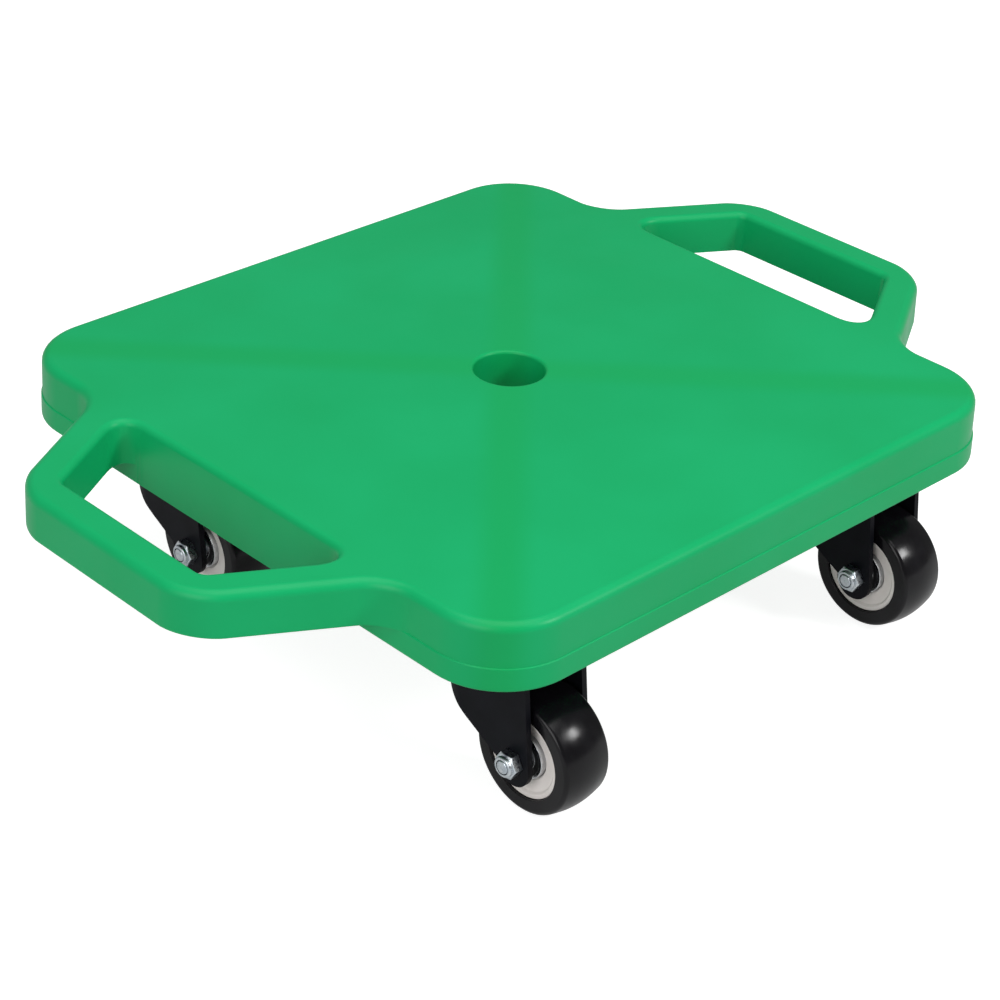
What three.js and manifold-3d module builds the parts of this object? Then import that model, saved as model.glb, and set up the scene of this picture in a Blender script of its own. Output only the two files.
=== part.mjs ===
// Scooter board: a ribbed plastic deck with two hand holes, standing on four swivel casters.
// Millimetres. +X runs from handle to handle, +Z is up, and the origin is on the floor
// under the middle of the board. All four wheels trail towards -Y.

import * as THREE from "three";
import { mergeVertices } from "three/addons/utils/BufferGeometryUtils.js";
import Module from "manifold-3d";

const wasm = await Module();
wasm.setup();

// Clearances

const seatGap = 0.2; // between a piece and the face it is seated on
const runningGap = 0.3; // between pieces that turn past each other
const holeGap = 0.3; // between a bolt or screw and the wall of its hole
const overrun = 1; // how far a cutter runs past the face it cuts

// Overall stance

const rideHeight = 73; // floor to the underside of the deck
const swivelPitchX = 199; // between swivel axes, along the handles' direction
const swivelPitchY = 194; // between swivel axes, across it

// Deck shell

const deckLength = 291;
const deckWidth = 292;
const deckHeight = 27.7;
const deckCornerRadius = 31;
const deckTopRadius = 4;
const deckSkin = 3.5; // thickness of the top
const deckWall = 3.2; // thickness of the skirt
const wallDraft = 0.8; // how far the skirt leans out from top to bottom
const partingStep = 0.5; // the band under the mould's parting line stands proud by this
const rimChamfer = 0.8;

// Centre hole

const holeDiameter = 30;
const holeLip = 1.5;
const holeWall = 3;

// Handles, which are level with the top and as thick as the band above the parting line

const handleThickness = 18.5;
const handleReach = 64; // beyond the side of the deck
const handleBaseWidth = 178; // across the two legs at the deck
const handleBarLength = 103.5; // across the two legs at the bar
const handleGripWidth = 15.3; // of the bar and of each leg
const handleWall = 3;
const handleRootRadius = 21; // where a leg runs into the side of the deck
const handleCornerRadius = 26;
const gripCornerRadius = 5; // opening, at the bar
const gripRootRadius = 9; // opening, at the deck
const gripEdgeRadius = 3; // rounding of the opening's upper edge

// Ribs under the deck and in the handles

const ribThickness = 2.2;
const ribRecess = 10; // from the rim of the skirt up to the ribs
const ribCells = 4; // cells from the middle of the deck to the skirt
const gripRibRecess = 2;
const gripRibPitch = 19;
const gripRibCount = 5; // across the bar
const legRibShares = [0.36, 0.7]; // places along each leg

// Caster mounting pads

const padMargin = 1.5; // the pad stands out this far round the plate
const bossRadius = 5.5;
const pilotDepth = 17;

// Caster plate, a square of sheet steel with a dish that carries the upper ball race

const plateSize = 60;
const plateThickness = 2.4;
const plateCornerRadius = 8;
const plateHolePitch = 44;
const plateHoleRadius = 2.6;
const dishDepth = 3.4;
const dishRadius = 18.5; // outside, at its floor
const dishFlare = 2; // its wall leans out by this

// Swivel race

const ballRadius = 2;
const ballCount = 8;
const raceRadius = 13.5; // circle that the balls run on
const raceOpening = 2.3; // between the two races
const cageWidth = 1.6;
const cageThickness = 0.8;

// Kingpin, riveted into the dish, with a flange that holds the fork up

const kingpinRadius = 4.5;
const kingpinHeadRadius = 7.5;
const kingpinHeadHeight = 2;
const kingpinFlangeRadius = 8.5;
const kingpinFlangeHeight = 2;
const kingpinTipRadius = 5.5;
const kingpinTipHeight = 1.4;

// Fork, pressed from sheet steel

const forkSheet = 2.5;
const forkWidth = 32; // outside the two legs
const forkBendRadius = 3.5; // where the legs bend down from the crown
const forkNose = 32.5; // from the swivel axis forward to the front of the crown
const forkEarRadius = 8.4; // round lower end of a leg
const forkEarDrop = 2; // its centre below the axle
const crownRadius = 19; // round seat of the lower ball race
const crownNotchRadius = 12; // hollow in the crown's front edge
const trail = 28.8; // from the swivel axis to the axle

// The rear edge of a leg climbs from its ear to a knee and curves up to the back.
// Places are shares of the trail, behind the swivel axis where positive, and of the height
// from the axle to the crown.
const kneeShares = { along: -0.11, up: 0.175 };
const bendShares = { along: 0.26, up: 0.34 };
const backRiseShare = 0.83;

// Wheel

const wheelDiameter = 50.8;
const wheelWidth = 23;
const treadThickness = 7.9; // from the plastic core out to the rolling face
const treadShoulder = 4.1;
const coreWidth = 20.6;
const coreRimThickness = 1.9;
const coreFaceRecess = 1.2; // web face below the rim's edge, beside the rim
const coreHubRecess = 2.2; // and beside the bearing
const coreBoreRadius = 6.5;

// Bearings, one pressed into each side of the core

const bearingRadius = 9.5;
const bearingBoreRadius = 4;
const bearingWidth = 6;
const bearingProud = 2.1; // stands out of the hub face
const bearingOuterRing = 1.4;
const bearingInnerRing = 1.3;
const bearingShieldRecess = 0.4;

// Axle bolt and lock nut

const axleRadius = 2.8;
const axleSleeveWall = 1; // of the sleeve from leg to leg that the bearings sit on
const axleChamfer = 0.6;
const axleEnd = 21.7; // from the middle of the wheel to the bolt's end
const hexAcrossFlats = 10;
const boltHeadHeight = 4;
const nutHexHeight = 3.8;
const nutCollarHeight = 1.5;
const nutCollarRadius = 4.3;

// Mounting screws

const screwRadius = 2.1;
const screwLength = 16;
const screwTipLength = 3;
const screwHeadRadius = 4.1;
const screwHeadHeight = 2.4;
const screwHeadTopRadius = 2.6;

// Facets

const cornerSteps = 4; // for each rounded corner of an outline
const edgeSteps = 2; // for the rounded edges of the deck
const bendSteps = 2; // for the bends of the fork and the shoulders of the tread
const curveSteps = 5; // for the rear edge of a fork leg
const holeSteps = 24;
const wheelSteps = 20;
const raceSteps = 12;
const pinSteps = 10;
const bearingSteps = 10;
const axleSteps = 8;
const screwSteps = 6;
const ballSteps = 6;
const hexSides = 6;

// Levels and places that follow from the sizes above

const deckTop = rideHeight + deckHeight;
const partingLevel = deckTop - handleThickness;
const skinLevel = deckTop - deckSkin;
const plateTop = rideHeight - seatGap;
const dishFloor = plateTop - dishDepth;
const dishUnderside = dishFloor - plateThickness;
const ballLevel = dishUnderside - raceOpening / 2;
const crownTop = dishUnderside - raceOpening;
const crownUnderside = crownTop - forkSheet;
const wheelRadius = wheelDiameter / 2;
const coreRadius = wheelRadius - treadThickness;
const axleLevel = wheelRadius;
const legHeight = crownTop - axleLevel;
const holeRadius = holeDiameter / 2;
const grooveRadius = ballRadius + runningGap;
const skirtStandOff = wallDraft + partingStep;
const padSize = plateSize + 2 * padMargin;

// The board's box reaches from the trailing wheels to the far side of the skirt, and its
// middle lies over the origin.
const wheelReachY = swivelPitchY / 2 + trail + wheelRadius;
const skirtReachY = deckWidth / 2 + skirtStandOff;
const deckOffsetY = (wheelReachY - skirtReachY) / 2;

// Materials

const plastic = (color, roughness) => new THREE.MeshStandardMaterial({ color, roughness });
const metal = (color, roughness) =>
  new THREE.MeshStandardMaterial({ color, roughness, metalness: 1 });
const materials = {
  deck: plastic(0x1fae63, 0.45),
  blackSteel: plastic(0x1d1d20, 0.4),
  zinc: metal(0xc4cad0, 0.35),
  ballSteel: metal(0xd0d2d4, 0.15),
  tread: plastic(0x17171a, 0.25),
  core: plastic(0xd6cfcb, 0.45),
  bearing: metal(0xb8babc, 0.3),
};

// Solids from geometries and back

function solid(geometry) {
  geometry.deleteAttribute("normal");
  geometry.deleteAttribute("uv");
  const merged = mergeVertices(geometry);
  const triVerts = [];
  for (let i = 0; i < merged.index.count; i += 3) {
    const [a, b, c] = merged.index.array.slice(i, i + 3);
    if (a !== b && b !== c && c !== a) triVerts.push(a, b, c);
  }
  const vertProperties = merged.attributes.position.array;
  const mesh = new wasm.Mesh({ numProp: 3, vertProperties, triVerts: new Uint32Array(triVerts) });
  return new wasm.Manifold(mesh);
}

function geometryOf(body) {
  const mesh = body.getMesh();
  const geometry = new THREE.BufferGeometry();
  geometry.setAttribute("position", new THREE.BufferAttribute(mesh.vertProperties, mesh.numProp));
  geometry.setIndex(new THREE.BufferAttribute(mesh.triVerts, 1));
  geometry.computeVertexNormals();
  return geometry;
}

const joined = (bodies) => bodies.reduce((whole, body) => whole.add(body));
const cut = (body, cutters) => cutters.reduce((rest, cutter) => rest.subtract(cutter), body);

// A block with its middle over (x, y), from one level up to another.
function block(length, width, low, high, x = 0, y = 0, turn = 0) {
  const geometry = new THREE.BoxGeometry(length, width, high - low);
  return geometry.rotateZ(turn).translate(x, y, (low + high) / 2);
}

function cylinder(radius, low, high, x, y, steps) {
  const geometry = new THREE.CylinderGeometry(radius, radius, high - low, steps);
  return geometry.rotateX(Math.PI / 2).translate(x, y, (low + high) / 2);
}

// A solid of revolution. Its profile is a list of [radius, place along the axis], which runs
// counter-clockwise with the radius to the right, and closes on itself or on the axis.
function turned(profile, axis, steps) {
  const points = profile.map(([radius, along]) => new THREE.Vector2(radius, along));
  if (points[0].x > 0) points.push(points[0].clone());
  const geometry = new THREE.LatheGeometry(points, steps);
  return axis === "x" ? geometry.rotateZ(-Math.PI / 2) : geometry.rotateX(Math.PI / 2);
}

// Points of a quarter round from its first direction to the next, as [cosine, sine] shares.
function quarter(steps) {
  return Array.from({ length: steps + 1 }, (_, i) => {
    const angle = (i / steps) * (Math.PI / 2);
    return [Math.cos(angle), Math.sin(angle)];
  });
}

// Outlines with rounded corners

// A corner is {x, y, r}, and corners run counter-clockwise. To grow an outline moves each
// side outwards: outer corners get a larger radius and inner corners a smaller one. Corners
// are rounded in cornerSteps facets, or in as many as the corner states.
function roundedOutline(corners, grow) {
  const count = corners.length;
  return corners.flatMap((corner, i) => {
    const before = corners[(i + count - 1) % count];
    const after = corners[(i + 1) % count];
    const arriving = new THREE.Vector2(corner.x - before.x, corner.y - before.y).normalize();
    const leaving = new THREE.Vector2(after.x - corner.x, after.y - corner.y).normalize();
    const turn = Math.atan2(arriving.cross(leaving), arriving.dot(leaving));
    const side = Math.sign(turn);
    const normal = new THREE.Vector2(arriving.y, -arriving.x);
    const nextNormal = new THREE.Vector2(leaving.y, -leaving.x);
    const mitre = normal.clone().add(nextNormal).divideScalar(1 + normal.dot(nextNormal));
    const radius = corner.r + side * grow;
    const centre = new THREE.Vector2(corner.x, corner.y).addScaledVector(mitre, -side * corner.r);
    const steps = corner.steps ?? cornerSteps;
    return Array.from({ length: steps + 1 }, (_, step) => {
      const away = normal.clone().rotateAround(new THREE.Vector2(), (turn * step) / steps);
      return centre.clone().addScaledVector(away, side * radius);
    });
  });
}

// A closed solid through the same outline at several levels, listed upwards as {z, grow}.
function loft(corners, levels) {
  const outlines = levels.map(({ grow }) => roundedOutline(corners, grow));
  const count = outlines[0].length;
  const last = (levels.length - 1) * count;
  const positions = outlines.flatMap((ring, i) => ring.flatMap(({ x, y }) => [x, y, levels[i].z]));
  const faces = [];
  for (let low = 0; low < last; low += count) {
    for (let i = 0; i < count; i += 1) {
      const j = (i + 1) % count;
      const high = low + count;
      faces.push(low + i, low + j, high + j, low + i, high + j, high + i);
    }
  }
  const floor = THREE.ShapeUtils.triangulateShape(outlines[0], []);
  const lid = THREE.ShapeUtils.triangulateShape(outlines[levels.length - 1], []);
  floor.forEach(([a, b, c]) => faces.push(a, c, b));
  lid.forEach(([a, b, c]) => faces.push(last + a, last + b, last + c));
  const geometry = new THREE.BufferGeometry();
  geometry.setAttribute("position", new THREE.Float32BufferAttribute(positions, 3));
  geometry.setIndex(faces);
  return geometry;
}

const rectangle = (length, width, r) =>
  [
    [-1, -1],
    [1, -1],
    [1, 1],
    [-1, 1],
  ].map(([x, y]) => ({ x: (x * length) / 2, y: (y * width) / 2, r }));

// Deck outlines

const handleEnd = deckLength / 2 + handleReach;
const legSlope = (handleBaseWidth - handleBarLength) / 2 / handleReach;
const legLean = Math.atan(legSlope);

// Half the width across the handle's outer sides, at a distance from the deck's middle.
function handleHalfWidth(x) {
  return handleBaseWidth / 2 - (x - deckLength / 2) * legSlope;
}

function upperCorners() {
  const sideX = deckLength / 2;
  const bar = handleHalfWidth(handleEnd);
  const base = handleHalfWidth(sideX);
  const half = [
    { x: sideX, y: -deckWidth / 2, r: deckCornerRadius },
    { x: sideX, y: -base, r: handleRootRadius },
    { x: handleEnd, y: -bar, r: handleCornerRadius },
    { x: handleEnd, y: bar, r: handleCornerRadius },
    { x: sideX, y: base, r: handleRootRadius },
    { x: sideX, y: deckWidth / 2, r: deckCornerRadius },
  ];
  return [...half, ...half.map(({ x, y, r }) => ({ x: -x, y: -y, r }))];
}

// The four corners of a handle, from a base line outwards.
function handleCorners(baseX, r) {
  return [
    { x: baseX, y: -handleHalfWidth(baseX), r },
    { x: handleEnd, y: -handleHalfWidth(handleEnd), r },
    { x: handleEnd, y: handleHalfWidth(handleEnd), r },
    { x: baseX, y: handleHalfWidth(baseX), r },
  ];
}

// The opening keeps one grip width to the outside of the bar and of both legs.
function gripCorners() {
  const sideX = deckLength / 2;
  const barX = handleEnd - handleGripWidth;
  const across = handleGripWidth / Math.cos(legLean);
  const base = handleHalfWidth(sideX) - across;
  const bar = handleHalfWidth(barX) - across;
  return [
    { x: sideX, y: -base, r: gripRootRadius },
    { x: barX, y: -bar, r: gripCornerRadius },
    { x: barX, y: bar, r: gripCornerRadius },
    { x: sideX, y: base, r: gripRootRadius },
  ];
}

const draftAt = (z) => (wallDraft * (deckTop - z)) / deckHeight;

const casterPlaces = [
  { name: "front_left", x: -swivelPitchX / 2, y: -swivelPitchY / 2 },
  { name: "front_right", x: swivelPitchX / 2, y: -swivelPitchY / 2 },
  { name: "rear_left", x: -swivelPitchX / 2, y: swivelPitchY / 2 },
  { name: "rear_right", x: swivelPitchX / 2, y: swivelPitchY / 2 },
];

const screwPlaces = rectangle(plateHolePitch, plateHolePitch, 0);

// Deck

function deckOutside() {
  const topEdge = quarter(edgeSteps).map(([cosine, sine]) => ({
    z: deckTop - deckTopRadius + deckTopRadius * sine,
    grow: deckTopRadius * (cosine - 1),
  }));
  const upper = loft(upperCorners(), [
    { z: partingLevel, grow: draftAt(partingLevel) },
    ...topEdge,
  ]);
  const lower = loft(rectangle(deckLength, deckWidth, deckCornerRadius), [
    { z: rideHeight, grow: skirtStandOff - rimChamfer },
    { z: rideHeight + rimChamfer, grow: skirtStandOff },
    { z: partingLevel - partingStep, grow: draftAt(partingLevel) + partingStep },
    { z: partingLevel, grow: draftAt(partingLevel) },
    { z: partingLevel + overrun, grow: -overrun },
  ]);
  return solid(upper).add(solid(lower));
}

function centreHole() {
  const low = rideHeight - overrun;
  const lip = quarter(edgeSteps).map(([cosine, sine]) => [
    holeRadius + holeLip * (1 - cosine),
    deckTop - holeLip + holeLip * sine,
  ]);
  const high = deckTop + overrun;
  const profile = [[0, low], [holeRadius, low], ...lip, [holeRadius + holeLip, high], [0, high]];
  return solid(turned(profile, "z", holeSteps));
}

// The lattice of ribs, two diagonal ribs from corner to corner, and the tube round the hole.
function deckRibs() {
  const low = rideHeight + ribRecess;
  const rib = (length, width, x, y, turn) => solid(block(length, width, low, deckTop, x, y, turn));
  const pitchX = (deckLength / 2 - deckWall) / ribCells;
  const pitchY = (deckWidth / 2 - deckWall) / ribCells;
  const ribs = [];
  for (let i = 1 - ribCells; i < ribCells; i += 1) {
    ribs.push(rib(ribThickness, deckWidth, i * pitchX, 0, 0));
    ribs.push(rib(deckLength, ribThickness, 0, i * pitchY, 0));
  }
  const diagonal = Math.hypot(deckLength, deckWidth);
  const slant = Math.atan2(deckWidth, deckLength);
  ribs.push(rib(diagonal, ribThickness, 0, 0, slant));
  ribs.push(rib(diagonal, ribThickness, 0, 0, -slant));
  const tube = cylinder(holeRadius + holeWall, rideHeight, deckTop, 0, 0, holeSteps);
  const padZones = casterPlaces.map(({ x, y }) =>
    solid(block(padSize, padSize, rideHeight, deckTop + overrun, x, y)),
  );
  return cut(joined(ribs), padZones).add(solid(tube));
}

// A pad is a square frame with a cross inside and four screw bosses, all level with the rim.
function casterPad({ x, y }) {
  const inner = padSize - 2 * deckWall;
  const wall = solid(block(padSize, padSize, rideHeight, deckTop, x, y));
  const hollow = solid(block(inner, inner, rideHeight - overrun, deckTop + overrun, x, y));
  const bars = [
    solid(block(padSize, ribThickness, rideHeight, deckTop, x, y)),
    solid(block(ribThickness, padSize, rideHeight, deckTop, x, y)),
  ];
  const bosses = screwPlaces.map((screw) =>
    solid(cylinder(bossRadius, rideHeight, deckTop, x + screw.x, y + screw.y, screwSteps)),
  );
  return joined([wall.subtract(hollow), ...bars, ...bosses]);
}

function pilotHoles({ x, y }) {
  const radius = screwRadius + holeGap;
  const low = rideHeight - overrun;
  const high = rideHeight + pilotDepth;
  return screwPlaces.map((screw) =>
    solid(cylinder(radius, low, high, x + screw.x, y + screw.y, screwSteps)),
  );
}

function gripRibs() {
  const low = partingLevel + gripRibRecess;
  const barX = handleEnd - handleGripWidth / 2;
  const ribs = [];
  for (let i = 0; i < gripRibCount; i += 1) {
    const y = (i - (gripRibCount - 1) / 2) * gripRibPitch;
    ribs.push(block(handleGripWidth, ribThickness, low, deckTop, barX, y));
  }
  const across = handleGripWidth / Math.cos(legLean);
  legRibShares.forEach((share) => {
    const x = deckLength / 2 + share * handleReach;
    const y = handleHalfWidth(x) - across / 2;
    ribs.push(block(ribThickness, handleGripWidth, low, deckTop, x, y, -legLean));
    ribs.push(block(ribThickness, handleGripWidth, low, deckTop, x, -y, legLean));
  });
  return ribs.map(solid);
}

// The hollow of a handle, open below, with one wall outside and one round the opening.
function gripHollow() {
  const low = partingLevel - overrun;
  const outer = loft(handleCorners(deckLength / 2 - handleWall + skirtStandOff, handleCornerRadius), [
    { z: low, grow: draftAt(partingLevel) - handleWall },
    { z: skinLevel, grow: -handleWall },
  ]);
  const inner = loft(gripCorners(), [
    { z: low - overrun, grow: handleWall - draftAt(partingLevel) },
    { z: deckTop, grow: handleWall },
  ]);
  return cut(solid(outer), [solid(inner), ...gripRibs()]);
}

function gripOpening() {
  const upperEdge = quarter(edgeSteps).map(([cosine, sine]) => ({
    z: deckTop - gripEdgeRadius + gripEdgeRadius * sine,
    grow: gripEdgeRadius * (1 - cosine),
  }));
  const levels = [
    { z: partingLevel - overrun, grow: -draftAt(partingLevel) },
    ...upperEdge,
    { z: deckTop + overrun, grow: gripEdgeRadius },
  ];
  return solid(loft(gripCorners(), levels));
}

function deck() {
  const hollowLevels = [
    { z: rideHeight - overrun, grow: skirtStandOff - deckWall },
    { z: skinLevel, grow: -deckWall },
  ];
  const hollow = solid(loft(rectangle(deckLength, deckWidth, deckCornerRadius), hollowLevels));
  const ribbedHollow = cut(hollow, [deckRibs(), ...casterPlaces.map(casterPad)]);
  const nearHandle = [gripHollow(), gripOpening()];
  const farHandle = nearHandle.map((body) => solid(geometryOf(body).rotateZ(Math.PI)));
  const pilots = casterPlaces.flatMap(pilotHoles);
  return cut(deckOutside(), [
    ribbedHollow,
    ...nearHandle,
    ...farHandle,
    centreHole(),
    ...pilots,
  ]);
}

// Swivel head of a caster, about its swivel axis

// The ring that the balls roll through, wider than a ball by the running gap.
function raceGroove() {
  const section = rectangle(2 * grooveRadius, 2 * grooveRadius, 0);
  const profile = section.map(({ x, y }) => [raceRadius + x, ballLevel + y]);
  return solid(turned(profile, "z", raceSteps));
}

function topPlate() {
  const sheet = loft(rectangle(plateSize, plateSize, plateCornerRadius), [
    { z: plateTop - plateThickness, grow: 0 },
    { z: plateTop, grow: 0 },
  ]);
  const outside = [
    [0, dishUnderside],
    [dishRadius, dishUnderside],
    [dishRadius + dishFlare, plateTop - plateThickness],
    [dishRadius + dishFlare, plateTop - plateThickness / 2],
    [0, plateTop - plateThickness / 2],
  ];
  const floorRadius = dishRadius - plateThickness;
  const inside = [
    [0, dishFloor],
    [floorRadius, dishFloor],
    [floorRadius + dishFlare, plateTop],
    [floorRadius + dishFlare, plateTop + overrun],
    [0, plateTop + overrun],
  ];
  const boreRadius = kingpinRadius + holeGap;
  const bore = cylinder(boreRadius, dishUnderside - overrun, plateTop, 0, 0, pinSteps);
  const holes = screwPlaces.map(({ x, y }) =>
    cylinder(plateHoleRadius, dishUnderside, plateTop + overrun, x, y, screwSteps),
  );
  const pressed = solid(sheet).add(solid(turned(outside, "z", raceSteps)));
  const cutters = [turned(inside, "z", raceSteps), bore, ...holes].map(solid);
  return cut(pressed, [...cutters, raceGroove()]);
}

// The balls keep their places in a thin cage ring.
function swivelBalls() {
  const inner = raceRadius - cageWidth / 2;
  const outer = raceRadius + cageWidth / 2;
  const low = ballLevel - cageThickness / 2;
  const high = ballLevel + cageThickness / 2;
  const cageProfile = [[inner, low], [outer, low], [outer, high], [inner, high]];
  const cage = solid(turned(cageProfile, "z", ballCount));
  const balls = Array.from({ length: ballCount }, (_, i) => {
    const angle = (i / ballCount) * 2 * Math.PI;
    const ball = new THREE.SphereGeometry(ballRadius, ballSteps, ballSteps / 2);
    return solid(ball.translate(raceRadius, 0, ballLevel).rotateZ(angle));
  });
  return joined([cage, ...balls]);
}

function kingpin() {
  const headSeat = dishFloor + seatGap;
  const headTop = headSeat + kingpinHeadHeight;
  const flangeTop = crownUnderside - runningGap;
  const flangeBottom = flangeTop - kingpinFlangeHeight;
  const tip = flangeBottom - kingpinTipHeight;
  return turned(
    [
      [0, tip],
      [kingpinTipRadius, tip],
      [kingpinTipRadius, flangeBottom],
      [kingpinFlangeRadius, flangeBottom],
      [kingpinFlangeRadius, flangeTop],
      [kingpinRadius, flangeTop],
      [kingpinRadius, headSeat],
      [kingpinHeadRadius, headSeat],
      [kingpinHeadRadius - kingpinHeadHeight / 2, headTop],
      [0, headTop],
    ],
    "z",
    pinSteps,
  );
}

// Fork

// Seen from above, the fork is a U: straight legs, and a half round behind the swivel axis.
function forkPlan(front) {
  const halfWidth = forkWidth / 2;
  const frontRadius = forkSheet + forkBendRadius;
  const backRadius = halfWidth - seatGap;
  return [
    { x: -halfWidth, y: -front, r: frontRadius, steps: 1 },
    { x: halfWidth, y: -front, r: frontRadius, steps: 1 },
    { x: halfWidth, y: halfWidth, r: backRadius },
    { x: -halfWidth, y: halfWidth, r: backRadius },
  ];
}

function forkShell() {
  const front = trail + 2 * forkEarRadius;
  const bend = quarter(bendSteps).map(([cosine, sine]) => ({
    z: crownTop - forkBendRadius + forkBendRadius * sine,
    grow: forkBendRadius * (cosine - 1),
  }));
  const outside = loft(forkPlan(front), [{ z: 0, grow: 0 }, ...bend]);
  const innerBend = Math.max(forkBendRadius - forkSheet, seatGap);
  const inside = loft(forkPlan(front + forkWidth), [
    { z: -overrun, grow: -forkSheet },
    { z: crownUnderside - innerBend, grow: -forkSheet },
    { z: crownUnderside, grow: -forkSheet - innerBend },
  ]);
  return solid(outside).subtract(solid(inside));
}

// Where a straight line from a point runs on to a circle, on the side away from the axis.
function tangentAngle(fromY, fromZ, centreY, centreZ, radius) {
  const distance = Math.hypot(fromY - centreY, fromZ - centreZ);
  return Math.atan2(fromZ - centreZ, fromY - centreY) + Math.acos(radius / distance);
}

// Side view of a leg: the shape's x is the board's Y, and its y is the board's Z.
function legOutline() {
  const back = forkWidth / 2;
  const knee = { y: kneeShares.along * trail, z: axleLevel + kneeShares.up * legHeight };
  const bend = { y: bendShares.along * trail, z: axleLevel + bendShares.up * legHeight };
  const backStart = axleLevel + backRiseShare * legHeight;
  const top = crownTop + overrun;
  const earLevel = axleLevel - forkEarDrop;
  const frontAngle = tangentAngle(-forkNose, crownTop, -trail, earLevel, forkEarRadius);
  const outline = new THREE.Shape();
  outline.moveTo(back, top);
  outline.lineTo(-forkNose, top);
  outline.lineTo(-forkNose, crownTop);
  outline.absarc(-trail, earLevel, forkEarRadius, frontAngle, 2 * Math.PI, false);
  outline.lineTo(knee.y, knee.z);
  outline.quadraticCurveTo(bend.y, bend.z, back, backStart);
  outline.closePath();
  return outline;
}

function legProfile() {
  const depth = forkWidth + 2 * overrun;
  const options = { depth, bevelEnabled: false, curveSegments: curveSteps };
  const geometry = new THREE.ExtrudeGeometry(legOutline(), options);
  return solid(geometry.translate(0, 0, -depth / 2).rotateY(Math.PI / 2).rotateX(Math.PI / 2));
}

function fork() {
  const seat = [
    [0, crownUnderside],
    [crownRadius - forkSheet / 2, crownUnderside],
    [crownRadius, crownUnderside + forkSheet / 2],
    [crownRadius, crownTop],
    [0, crownTop],
  ];
  const bore = cylinder(
    kingpinRadius + runningGap,
    crownUnderside - overrun,
    crownTop + overrun,
    0,
    0,
    pinSteps,
  );
  const notch = cylinder(
    crownNotchRadius,
    crownUnderside - overrun,
    crownTop + overrun,
    0,
    -forkNose,
    raceSteps,
  );
  const axleHole = new THREE.CylinderGeometry(
    axleRadius + holeGap,
    axleRadius + holeGap,
    forkWidth + 2 * overrun,
    axleSteps,
  );
  axleHole.rotateZ(Math.PI / 2).translate(0, -trail, axleLevel);
  const pressed = forkShell().intersect(legProfile()).add(solid(turned(seat, "z", raceSteps)));
  return cut(pressed, [solid(bore), solid(notch), solid(axleHole), raceGroove()]);
}

// Wheel, about its axle, which is taken as X through the middle of the wheel

function wheelTread() {
  const halfWidth = wheelWidth / 2;
  const inner = coreRadius + seatGap;
  const crest = wheelRadius - treadShoulder;
  const side = halfWidth - treadShoulder;
  const shoulder = quarter(bendSteps).map(([cosine, sine]) => [
    crest + treadShoulder * cosine,
    side + treadShoulder * sine,
  ]);
  const mirrored = shoulder.map(([radius, along]) => [radius, -along]).reverse();
  return turned([[inner, -halfWidth], ...mirrored, ...shoulder, [inner, halfWidth]], "x", wheelSteps);
}

const bearingFace = coreWidth / 2 - coreHubRecess + bearingProud;
const pocketFloor = bearingFace - bearingWidth - seatGap;

function wheelCore() {
  const rim = coreWidth / 2;
  const webRim = coreRadius - coreRimThickness;
  const pocketRadius = bearingRadius + seatGap;
  const half = [
    [coreRadius, rim],
    [webRim, rim],
    [webRim - coreFaceRecess, rim - coreFaceRecess],
    [pocketRadius, rim - coreHubRecess],
    [pocketRadius, pocketFloor],
    [coreBoreRadius, pocketFloor],
  ];
  const mirrored = half.map(([radius, along]) => [radius, -along]).reverse();
  return turned([...mirrored, ...half], "x", wheelSteps);
}

// The shield lies a little below the two rings on the bearing's outer face.
function bearing() {
  const bore = bearingBoreRadius + seatGap;
  const innerEdge = bore + bearingInnerRing;
  const outerEdge = bearingRadius - bearingOuterRing;
  const shield = bearingWidth - bearingShieldRecess;
  return turned(
    [
      [bore, 0],
      [bearingRadius, 0],
      [bearingRadius, bearingWidth],
      [outerEdge, bearingWidth],
      [outerEdge, shield],
      [innerEdge, shield],
      [innerEdge, bearingWidth],
      [bore, bearingWidth],
    ],
    "x",
    bearingSteps,
  ).translate(bearingFace - bearingWidth, 0, 0);
}

const hexRadius = hexAcrossFlats / 2 / Math.cos(Math.PI / 6);
const legOutside = forkWidth / 2 + seatGap;
const legInside = forkWidth / 2 - forkSheet - seatGap;

// The bolt comes from the right, through a sleeve that runs from leg to leg and carries the
// two bearings. The sleeve is clamped with the bolt, so the two are one solid here.
function axleBolt() {
  const sleeveRadius = axleRadius + axleSleeveWall;
  const shank = [
    [0, -axleEnd],
    [axleRadius, -axleEnd],
    [axleRadius, -legInside],
    [sleeveRadius, -legInside],
    [sleeveRadius, legInside],
    [axleRadius, legInside],
    [axleRadius, legOutside + boltHeadHeight / 2],
    [0, legOutside + boltHeadHeight / 2],
  ];
  const head = [
    [0, legOutside],
    [hexRadius, legOutside],
    [hexRadius, legOutside + boltHeadHeight - axleChamfer],
    [hexRadius - axleChamfer, legOutside + boltHeadHeight],
    [0, legOutside + boltHeadHeight],
  ];
  return solid(turned(shank, "x", axleSteps)).add(solid(turned(head, "x", hexSides)));
}

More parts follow.
